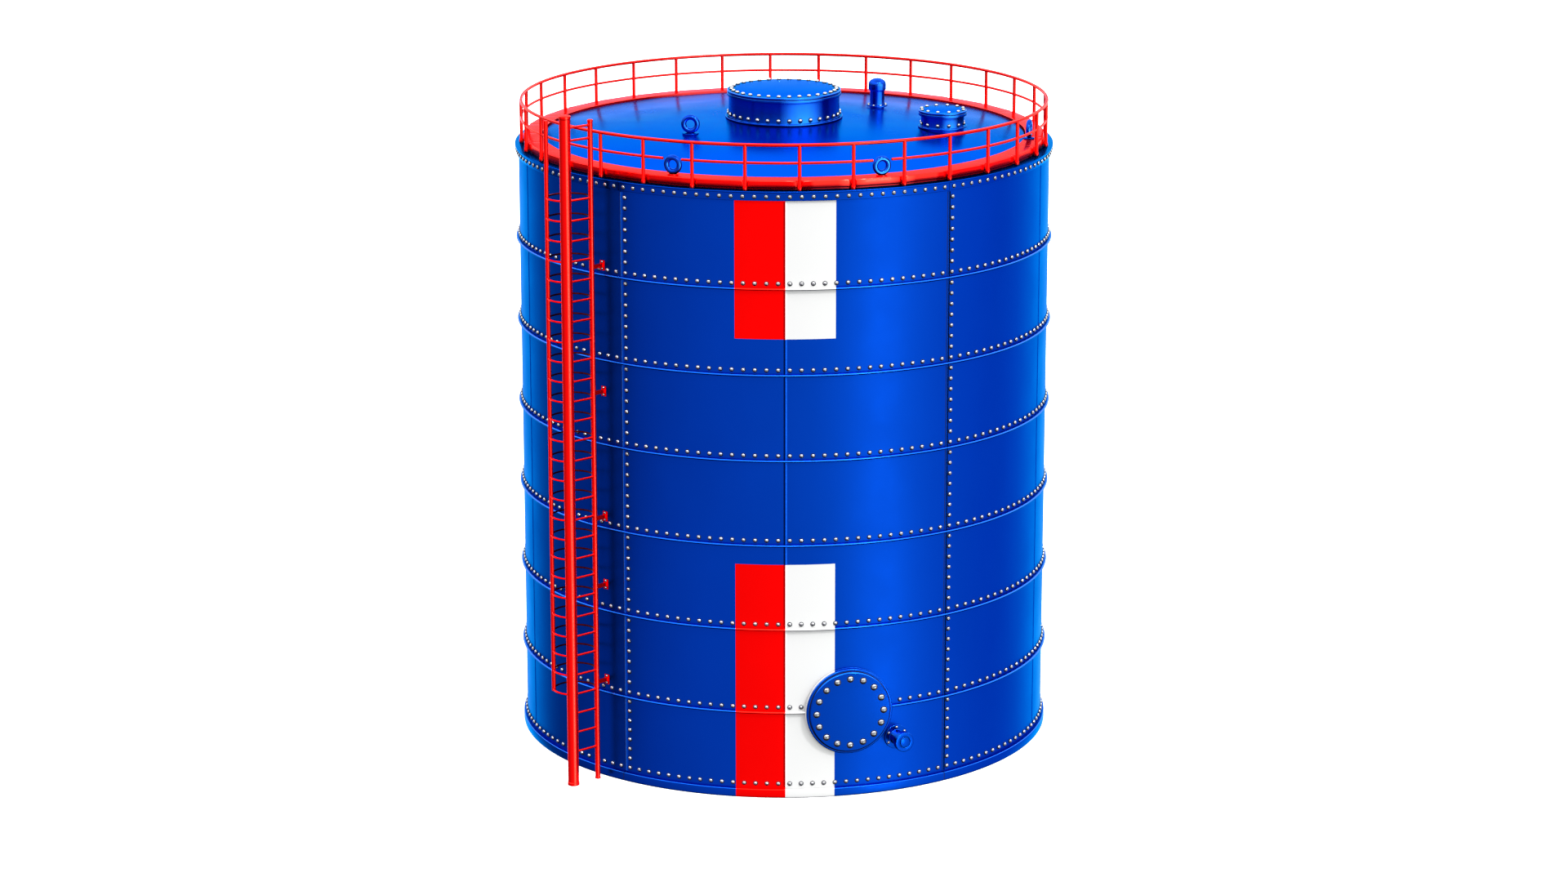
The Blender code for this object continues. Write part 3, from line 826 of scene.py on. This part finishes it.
def make_seams():
    """Weld lines down the plain joints, and raised edges at the front one and the bolted ones."""
    levels = [RIM_H] + HOOP_Z + [BAND_Z]
    spans = [(low + 0.02, high - 0.02) for low, high in zip(levels, levels[1:])]
    around = math.degrees(1 / SHELL_R)
    plain = [i * SPAN for i in range(1, COLUMNS) if i * SPAN not in BOLTED_SEAMS]
    at_lines = [seam + LAP_LINE * around for seam in BOLTED_SEAMS]
    at_edges = [seam + LAP_EDGE * around for seam in BOLTED_SEAMS]
    for name, material, angles, draw, sizes in (
            ("seam_beads", SHELL_PAINT, plain, weld_line, (WELD_R,)),
            ("lap_lines", TRIM_PAINT, at_lines, weld_line, (LINE_R,)),
            ("front_lap_edge", FRONT_LAP_PAINT, [RED_X[1] * around], raised_edge, ()),
            ("lap_edges", LAP_PAINT, at_edges, raised_edge, ()),
            ("seam_sealant", RUBBER, BOLTED_SEAMS, seam_sealant, ())):
        bm = bmesh.new()
        for angle in angles:
            for low, high in spans:
                draw(bm, angle, low, high, *sizes)
        add(name, bm, material)


def make_band():
    inner = SHELL_R + GAP
    low = LEDGE_Z - LIP_H
    profile = [(LEDGE_R, LEDGE_Z), (RING_R, LEDGE_Z), (RING_R, low), (BAND_R, low), (BAND_R, BAND_Z),
               (inner, BAND_Z), (inner, LEDGE_Z - LEDGE_T), (LEDGE_R, LEDGE_Z - LEDGE_T)]
    bm = bmesh.new()
    arcs(bm, rounded(profile, 0.008), RING_JOINT)
    add("top_band_ring", bm, BLUE_PAINT, ["top_band"])


# Roof

def roof_z(radius):
    return ROOF_EDGE_Z + ROOF_SLOPE * (ROOF_R - radius)


def make_roof():
    foot = LEDGE_Z + GAP
    inner = ROOF_R - SKIRT_T
    profile = [(ROOF_HOLE_R, roof_z(ROOF_HOLE_R)), (ROOF_R, ROOF_EDGE_Z), (ROOF_R, foot), (inner, foot),
               (inner, roof_z(inner) - ROOF_T), (ROOF_HOLE_R, roof_z(ROOF_HOLE_R) - ROOF_T)]
    turned("roof_plate", rounded(profile, 0.006), 240, ROOF_PAINT, ["roof"])


def kerb_path():
    """Points of the kerb's outer edge in plan, with their outward directions."""
    half = math.degrees(NOTCH_W / 2 / KERB_OUT)
    path = []
    for k in range(POSTS):
        angle = FIRST_POST + k * POST_PITCH
        middle = angle + POST_PITCH / 2
        end = math.radians(POST_PITCH / 2 - half)
        flat = KERB_OUT * math.cos(math.radians(POST_PITCH / 2 - half))
        path.append((polar(angle - half * 0.25, KERB_OUT - NOTCH_D), polar(angle, 1.0)))
        path.append((polar(angle + half * 0.25, KERB_OUT - NOTCH_D), polar(angle, 1.0)))
        for share in (-1.0, -0.94, -0.5, 0.5, 0.94, 1.0):
            inset = 0.008 if abs(share) == 1.0 else 0.0
            place = outward(middle) @ Vector((flat * math.tan(end * share), -flat + inset, 0))
            path.append((place, polar(middle, 1.0)))
    return path


def make_kerb():
    """Folded kerb: a flat top, a face that rolls under at its foot, and a notch at each post."""
    foot = LEDGE_Z + GAP
    levels = [(0.018, KERB_TOP), (0.008, KERB_TOP - 0.003), (0.0, KERB_TOP - 0.016), (0.0, KERB_TOP - 0.098),
              (0.003, KERB_TOP - 0.108), (0.010, KERB_TOP - 0.116), (0.022, KERB_TOP - 0.120), (0.024, foot)]
    bm = bmesh.new()
    rows = []
    for place, direction in kerb_path():
        row = []
        for inset, z in levels:
            point = place - direction * inset
            row.append(bm.verts.new((point.x, point.y, z)))
        back = place.normalized() * (KERB_IN + 0.002)
        row.append(bm.verts.new((back.x, back.y, foot)))
        row.append(bm.verts.new((back.x, back.y, KERB_TOP - 0.003)))
        ahead = place.normalized() * (KERB_IN + 0.006)
        row.append(bm.verts.new((ahead.x, ahead.y, KERB_TOP)))
        rows.append(row)
    skin(bm, rows)
    add("kerb_lengths", bm, RED_PAINT, ["kerb"], sharp=25)


def make_guardrail():
    steps = 4
    pitch = POST_PITCH / steps
    bm = bmesh.new()
    sweep(bm, [polar(FIRST_POST + i * pitch, RAIL_R, TOP_RAIL_Z) for i in range(POSTS * steps)],
          TOP_RAIL_D / 2, 14, closed=True)
    add("guardrail_top_rail", bm, RED_PAINT, ["guardrail_%d" % q for q in (1, 2, 3, 4)])
    bm = bmesh.new()
    reach = math.degrees((EYE_MAJOR + EYE_MINOR + 0.004) / RAIL_R)
    left, right = MID_RAIL_GAPS
    for start, end in ((left + reach, right - reach), (right + reach, left - reach + 360)):
        count = int((end - start) / pitch)
        line = [polar(start + (end - start) * i / count, RAIL_R, MID_RAIL_Z) for i in range(count + 1)]
        sweep(bm, line, MID_RAIL_D / 2, 12)
    add("guardrail_mid_rail", bm, RED_PAINT)
    foot = LEDGE_Z + GAP
    radius = POST_D / 2
    profile = [(0, foot), (0.036, foot), (0.037, foot + 0.02), (0.035, foot + 0.045), (radius, foot + 0.062),
               (radius, TOP_RAIL_Z), (0, TOP_RAIL_Z)]
    bm = bmesh.new()
    for k in range(POSTS):
        lathe(bm, profile, 14, matrix=standing(polar(FIRST_POST + k * POST_PITCH, RAIL_R)))
    add("guardrail_posts", bm, RED_PAINT)


# Ladder

def make_ladder():
    r = OUTER_POST_D / 2
    top = OUTER_POST_TOP
    profile = [(0, top), (r - 0.012, top), (r, top - 0.010), (r, top - 0.05), (r - 0.006, top - 0.058),
               (r - 0.006, 0.05), (r, 0.045), (r, 0), (0, 0)]
    turned("ladder_outer_post", rounded(profile, 0.004, closed=False), 32, RED_PAINT, ["ladder"],
           standing(POST_XY))
    r = STILE_D / 2
    top = STILE_TOP
    profile = [(0, top), (r - 0.006, top), (r, top - 0.006), (r, top - 0.035), (r - 0.004, top - 0.04),
               (r - 0.004, 0.03), (r, 0.026), (r, 0), (0, 0)]
    turned("ladder_stile", rounded(profile, 0.003, closed=False), 24, RED_PAINT, matrix=standing(STILE_XY))
    bm = bmesh.new()
    along = (STILE_XY - POST_XY).normalized()
    for z in RUNG_Z + TIE_Z:
        start = POST_XY + along * (OUTER_POST_D / 2 - 0.014)
        end = STILE_XY - along * (STILE_D / 2 - 0.012)
        sweep(bm, [Vector((*start, z)), Vector((*end, z))], RUNG_D / 2, 14)
        for point, way in ((POST_XY + along * (OUTER_POST_D / 2 - 0.008), along),
                           (STILE_XY - along * (STILE_D / 2 - 0.006), -along)):
            tip = point + way * 0.010
            sweep(bm, [Vector((*point, z)), Vector((*tip, z))], RUNG_D / 2 + 0.006, 14)
    add("ladder_rungs", bm, RED_PAINT)


def make_cage():
    """Round hoops from post to stile on the side away from the climber, and one upright."""
    to_post = POST_XY - CAGE_CENTRE
    to_stile = STILE_XY - CAGE_CENTRE
    start = math.atan2(to_post.y, to_post.x)
    end = math.atan2(to_stile.y, to_stile.x)
    sweep_angle = (start - end) % (2 * math.pi)
    steps = 36
    bm = bmesh.new()
    for z in RUNG_Z[CAGE_FROM:]:
        line = []
        for s in range(1, steps):
            a = start - sweep_angle * s / steps
            x = CAGE_CENTRE.x + CAGE_R * math.cos(a)
            y = CAGE_CENTRE.y + CAGE_R * math.sin(a)
            line.append(Vector((x, y, z)))
        sweep(bm, line, CAGE_BAR / 2, 8)
    add("cage_hoops", bm, CAGE_PAINT, ["ladder_cage"])
    r = UPRIGHT_D / 2
    foot = RUNG_Z[CAGE_FROM] - 0.04
    profile = [(0, UPRIGHT_TOP), (r, UPRIGHT_TOP), (r, foot), (0, foot)]
    turned("cage_upright", rounded(profile, 0.005, closed=False), 18, RED_PAINT,
           matrix=standing(CAGE_CENTRE - Vector((CAGE_R, 0))))


def make_brackets():
    face = SHELL_R * math.cos(math.radians(HALF_FACET)) + GAP
    sideways = face * math.tan(math.radians(BRACKET_ANGLE - BRACKET_FACET))
    foot = outward(BRACKET_FACET) @ Vector((sideways, -face, 0))
    to_stile = STILE_XY - foot.xy
    turn = math.atan2(to_stile.x, -to_stile.y)
    heads = []
    for i in range(1, 6):
        low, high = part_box("ladder_bracket_%d" % i)
        z = (low.z + high.z) / 2
        bm = bmesh.new()
        on_facet = shift(0, 0, z) @ outward(BRACKET_FACET)
        block(bm, PLATE_SIZE, on_facet @ shift(sideways, -face - PLATE_SIZE.y / 2, 0))
        length = to_stile.length - 0.03
        block(bm, (ARM_W, length, ARM_H), shift(foot.x, foot.y, z)
              @ Matrix.Rotation(turn, 4, "Z") @ shift(0, -length / 2 - 0.006, 0))
        add("ladder_bracket_%d_arm" % i, bm, RED_PAINT, ["ladder_bracket_%d" % i])
        for level in (-0.055, 0.055):
            heads.append(on_facet @ shift(sideways, -face - PLATE_SIZE.y, level)
                         @ Matrix.Rotation(math.radians(90), 4, "X"))
    bolts("bracket_bolts", heads, BRACKET_BOLT_R)


# Hatches, vent, eyes

def make_hatch(name, sizes, count, bolt_r):
    """A flanged neck with bolts round its foot, and a bolted cover with a raised disc."""
    low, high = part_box(name + "_neck")
    cover_low, cover_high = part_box(name + "_cover")
    stand = standing((low + high) / 2)
    bore, neck, lip, flange, disc = [sizes[key] for key in ("bore", "neck", "lip", "flange", "disc")]
    top = high.z
    seat = top - sizes["height"]
    profile = [(bore, top), (lip, top), (lip, top - 2 * PLATE), (neck, top - 2 * PLATE), (neck, seat + PLATE),
               (flange, seat + PLATE), (flange, seat), (neck, seat), (neck, low.z), (bore, low.z)]
    turned(name + "_collar", rounded(profile, 0.006), 96, COLLAR_PAINT, [name + "_neck"], stand)
    face = cover_high.z - sizes["rise"]
    under = cover_low.z + GASKET
    profile = [(0, cover_high.z), (disc - 0.01, cover_high.z), (disc - GAP, face), (disc - GAP, under),
               (0, under)]
    turned(name + "_lid", rounded(profile, 0.005, closed=False), 96, LID_PAINT, [name + "_cover"], stand)
    profile = [(disc, face), (lip - 0.012, face), (lip, face - 0.012), (lip, under), (disc, under)]
    turned(name + "_lid_rim", rounded(profile, 0.005), 96, COLLAR_PAINT, matrix=stand)
    edge = lip - 0.006
    profile = [(edge - 0.04, under - GAP), (edge, under - GAP), (edge, top + GAP), (edge - 0.04, top + GAP)]
    turned(name + "_gasket", profile, 96, RUBBER, matrix=stand)
    places = bolt_circle(stand, count, (disc + lip) / 2, face, 180 / count - 90)
    level = seat + PLATE + bolt_r * 1.5
    for i in range(count):
        places.append(stand @ facing(360 / count * (i + 0.5), level) @ shift(0, 0, neck))
    bolts(name + "_bolts", places, bolt_r)


def make_vent():
    low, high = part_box("roof_vent")
    stand = standing((low + high) / 2)
    top = high.z
    seat = low.z + VENT["rise"]
    cap, dome, neck, flange = [VENT[key] for key in ("cap", "dome", "neck", "flange")]
    profile = [(0, top)]
    for d in range(10, 91, 10):
        a = math.radians(d)
        profile.append((cap * math.sin(a), top - dome + dome * math.cos(a)))
    profile += rounded([(cap, top - 0.12), (cap, top - 0.185), (cap - 0.012, top - 0.20), (neck, top - 0.20),
                        (neck, seat + PLATE), (flange, seat + PLATE), (flange, seat), (neck, seat)], 0.005,
                       closed=False)
    profile += [(neck, low.z), (0, low.z)]
    turned("roof_vent_stack", profile, 48, GLOSS_PAINT, ["roof_vent"], stand)
    bolts("roof_vent_bolts", bolt_circle(stand, VENT_BOLTS, VENT["bolts"], seat + PLATE, -68), VENT_BOLT_R)


def make_eyes():
    """A round ring on a base plate; the plates of the two front eyes are painted with the kerb."""
    for name, (angle, radius, turn, base_r) in EYES.items():
        on_roof = radius < KERB_IN - 0.1
        seat = (roof_z(radius) if on_roof else KERB_TOP) + GAP
        place = Matrix.Translation(polar(angle, radius, seat)) @ outward(turn)
        middle = place @ Vector((0, 0, EYE_RISE + EYE_MAJOR))
        across = place.to_3x3() @ Vector((1, 0, 0))
        line = []
        for i in range(48):
            a = 2 * math.pi * i / 48
            line.append(middle + across * EYE_MAJOR * math.cos(a) + Vector((0, 0, EYE_MAJOR * math.sin(a))))
        bm = bmesh.new()
        sweep(bm, line, EYE_MINOR, 18, closed=True, up=place.to_3x3() @ Vector((0, 1, 0)))
        add(name + "_ring", bm, GLOSS_PAINT, [name])
        bm = bmesh.new()
        profile = [(0, EYE_BASE_T), (base_r, EYE_BASE_T), (base_r, 0), (0, 0)]
        lathe(bm, rounded(profile, 0.004, closed=False), 40, matrix=place)
        downhill = polar(angle - turn, ROOF_SLOPE if on_roof else 0.0)
        down = place.inverted()
        for vert in bm.verts:
            local = down @ vert.co
            if local.z < EYE_BASE_T / 2:
                vert.co.z -= local.dot(downhill)
        add(name + "_foot", bm, RED_PAINT if "front" in name else BLUE_PAINT)


# Manhole and nozzle

def make_manhole():
    matrix = facing(MANHOLE_ANGLE, MANHOLE_Z)
    back, front = MANHOLE_FLANGE
    neck, bore, flange, cover = [MANHOLE[key] for key in ("neck", "bore", "flange", "cover")]
    profile = [(bore, front), (flange, front), (flange, back), (neck, back), (neck, MANHOLE_BACK),
               (bore, MANHOLE_BACK)]
    turned("manhole_flange", rounded(profile, 0.014), 96, FITTING_PAINT_PAINTED_LIGHT, ["manhole_neck"], matrix)
    ring = flange + 0.012
    profile = [(neck + GAP, back - GAP), (ring, back - GAP), (ring, back - 0.016), (neck + GAP, back - 0.016)]
    turned("manhole_backing_ring", rounded(profile, 0.004), 96, TRIM_PAINT, matrix=matrix)
    seat = front + GASKET
    profile = [(0, MANHOLE_COVER), (cover - 0.014, MANHOLE_COVER), (cover, MANHOLE_COVER - 0.014),
               (cover, seat), (0, seat)]
    turned("manhole_lid", rounded(profile, 0.006, closed=False), 96, FITTING_PAINT_PAINTED_LIGHT, ["manhole_cover"], matrix)
    edge = cover + 0.010
    profile = [(cover - 0.05, seat - GAP), (edge, seat - GAP), (edge, front + GAP),
               (cover - 0.05, front + GAP)]
    turned("manhole_gasket", profile, 96, RUBBER, matrix=matrix)
    places = bolt_circle(matrix, MANHOLE_BOLTS, MANHOLE["bolts"], MANHOLE_COVER)
    bolts("manhole_bolts", places, MANHOLE_BOLT_R, MANHOLE_BOLT_H)


def make_nozzle():
    matrix = facing(NOZZLE_ANGLE, NOZZLE_Z)
    neck, bore, pad, end = [NOZZLE[key] for key in ("neck", "bore", "pad", "end")]
    end_back, end_front = NOZZLE_END
    pad_back, pad_front = NOZZLE_PAD
    profile = [(bore, end_front), (end, end_front), (end, end_back), (neck, end_back), (neck, pad_front),
               (pad, pad_front), (pad, pad_back), (neck, pad_back), (neck, NOZZLE_BACK), (bore, NOZZLE_BACK)]
    turned("nozzle_pipe", rounded(profile, 0.007), 64, FITTING_PAINT_PAINTED_LIGHT, ["nozzle"], matrix)
    plug = bore - GAP
    profile = [(0, NOZZLE_CAP), (NOZZLE_GROOVE_R, NOZZLE_CAP), (NOZZLE_GROOVE_R + 0.002, end_front - 0.012),
               (plug, end_front - 0.012), (plug, end_back), (0, end_back)]
    turned("nozzle_plug", rounded(profile, 0.003, closed=False), 48, FITTING_PAINT_PAINTED_LIGHT, ["nozzle_cap"], matrix)
    bolts("nozzle_bolts", bolt_circle(matrix, NOZZLE_BOLTS, NOZZLE["bolts"], pad_front, 30), NOZZLE_BOLT_R)


# Stage

def make_floor():
    bm = bmesh.new()
    bmesh.ops.create_grid(bm, x_segments=1, y_segments=1, size=300.0)
    mesh = bpy.data.meshes.new("floor")
    bm.to_mesh(mesh)
    bm.free()
    floor = put("floor", mesh)
    material, tree, shader, where = new_material("floor_paint")
    patches = mottle(tree, where, 0.2, 3.0, (1, 1, 1))
    tree.links.new(mix(tree, patches, (0.93, 0.93, 0.93, 1.0), (0.91, 0.91, 0.91, 1.0)),
                   shader.inputs["Base Color"])
    shader.inputs["Roughness"].default_value = 0.9
    shader.inputs["Specular IOR Level"].default_value = 0.1
    shader.inputs["Emission Color"].default_value = (1.0, 1.0, 1.0, 1.0)
    shader.inputs["Emission Strength"].default_value = 0.45
    mesh.materials.append(material)
    floor.location.z = -0.002
    floor.visible_glossy = False
    floor.visible_diffuse = False
    floor.visible_shadow = False


WORLD_SCALE = 4.0
# Light by angle round the axis, and by height on a unit sphere
WORLD_ROUND = [(-180, (0.8, 0.7, 1.6)), (-165, (1.3, 1.4, 2.5)), (-152, (2.5, 3.3, 2.8)),
               (-142, (1.9, 2.3, 1.8)), (-132, (0.45, 0.50, 0.45)), (-119, (0.08, 0.08, 0.12)),
               (-95, (0.40, 0.36, 0.44)), (-67, (0.60, 0.46, 0.66)), (-50, (0.76, 0.66, 0.82)),
               (-34, (0.88, 0.80, 0.92)), (-12, (0.92, 0.86, 0.98)), (12, (1.08, 1.10, 1.10)),
               (26, (1.25, 1.4, 1.32)), (37, (1.6, 1.9, 1.6)), (45, (1.9, 2.3, 1.85)),
               (53, (1.6, 1.8, 1.62)), (68, (1.25, 1.15, 1.35)), (90, (1.15, 1.0, 1.3)),
               (112, (0.8, 0.35, 0.95)), (126, (1.3, 1.3, 1.4)), (140, (1.9, 2.5, 1.9)),
               (152, (2.4, 3.4, 2.6)), (165, (1.4, 1.7, 2.4)), (180, (0.8, 0.7, 1.6))]
WORLD_UP = [(-1.0, 0.25), (-0.75, 0.25), (-0.5, 1.0), (0.0, 1.0), (0.1, 1.35), (0.40, 1.45),
            (0.50, 2.6), (0.85, 2.6), (1.0, 1.6)]


def fill_ramp(ramp, stops):
    """Give a colour ramp its stops as (position, colour); a ramp holds no value above 1."""
    elements = ramp.color_ramp.elements
    while len(elements) < len(stops):
        elements.new(0.5)
    for element, (position, color) in zip(list(elements), stops):
        element.position = position
        element.color = (*[value / WORLD_SCALE for value in color], 1.0)


def make_world():
    """Soft light from all round, brighter on one side, darker on the other."""
    world = bpy.data.worlds.new("studio")
    bpy.context.scene.world = world
    world.use_nodes = True
    tree = world.node_tree
    background = tree.nodes["Background"]
    x, y, z = axes(tree, node(tree, "ShaderNodeTexCoord").outputs["Generated"])
    azimuth = math_node(tree, "ARCTAN2", x, times(tree, y, -1.0))
    share = math_node(tree, "ADD", times(tree, azimuth, 0.5 / math.pi), 0.5)
    round_about = node(tree, "ShaderNodeValToRGB")
    round_about.color_ramp.interpolation = "B_SPLINE"
    fill_ramp(round_about, [(angle / 360 + 0.5, color) for angle, color in WORLD_ROUND])
    tree.links.new(share, round_about.inputs["Fac"])
    upward = node(tree, "ShaderNodeValToRGB")
    fill_ramp(upward, [(height / 2 + 0.5, (level, level, level)) for height, level in WORLD_UP])
    height = math_node(tree, "ADD", times(tree, z, 0.5), 0.5)
    tree.links.new(height, upward.inputs["Fac"])
    low = ramp_between(tree, z, 0.12, -0.02)
    plain = (1 / WORLD_SCALE, 1 / WORLD_SCALE, 1 / WORLD_SCALE, 1.0)
    even = mix(tree, low, plain, round_about.outputs["Color"])
    color = mix(tree, 1.0, even, upward.outputs["Color"], "MULTIPLY")
    seen = node(tree, "ShaderNodeLightPath").outputs["Is Camera Ray"]
    shown = 1 / WORLD_SCALE ** 2
    tree.links.new(mix(tree, seen, color, (shown, shown, shown, 1.0)), background.inputs["Color"])
    background.inputs["Strength"].default_value = WORLD_SCALE ** 2


def make_lights():
    """A soft key, and two lights that show only as highlights on gloss: a low strip and one overhead."""
    for name, angle, rise, size, energy, on_matt in (("key", 42, 45, 9, 1.7, True),
                                                     ("strip", 42, -14, 6, 0.18, False),
                                                     ("overhead", 6, 48, 11, 0.7, False)):
        sun = bpy.data.lights.new(name, "SUN")
        sun.energy = energy
        sun.angle = math.radians(size)
        lamp = put(name, sun)
        direction = polar(angle, 1.0, math.tan(math.radians(rise)))
        lamp.rotation_euler = (-direction).to_track_quat("-Z", "Y").to_euler()
        lamp.visible_diffuse = on_matt


def make_camera():
    data = bpy.data.cameras.new("camera")
    data.lens = 94.07
    data.sensor_width = 36.0
    data.clip_end = 1000.0
    camera = put("camera", data)
    camera.location = (0.0, -65.0, 21.75)
    tilt = 14.74            # degrees below level
    camera.rotation_euler = (math.radians(90 - tilt), 0.0, 0.0)
    bpy.context.scene.camera = camera


make_camera()
make_world()
make_lights()
make_floor()
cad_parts["floor_plate"].data.materials.clear()
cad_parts["floor_plate"].data.materials.append(BLUE_PAINT)
make_rim()
make_wall()
make_seams()
make_hoops()
make_wall_bolts()
make_band()
make_roof()
make_kerb()
make_guardrail()
make_ladder()
make_cage()
make_brackets()
make_hatch("roof_hatch", HATCH, HATCH_BOLTS, HATCH_BOLT_R)
make_hatch("small_hatch", SMALL_HATCH, SMALL_HATCH_BOLTS, SMALL_HATCH_BOLT_R)
make_vent()
make_eyes()
make_manhole()
make_nozzle()
bpy.context.scene.view_settings.view_transform = "Standard"
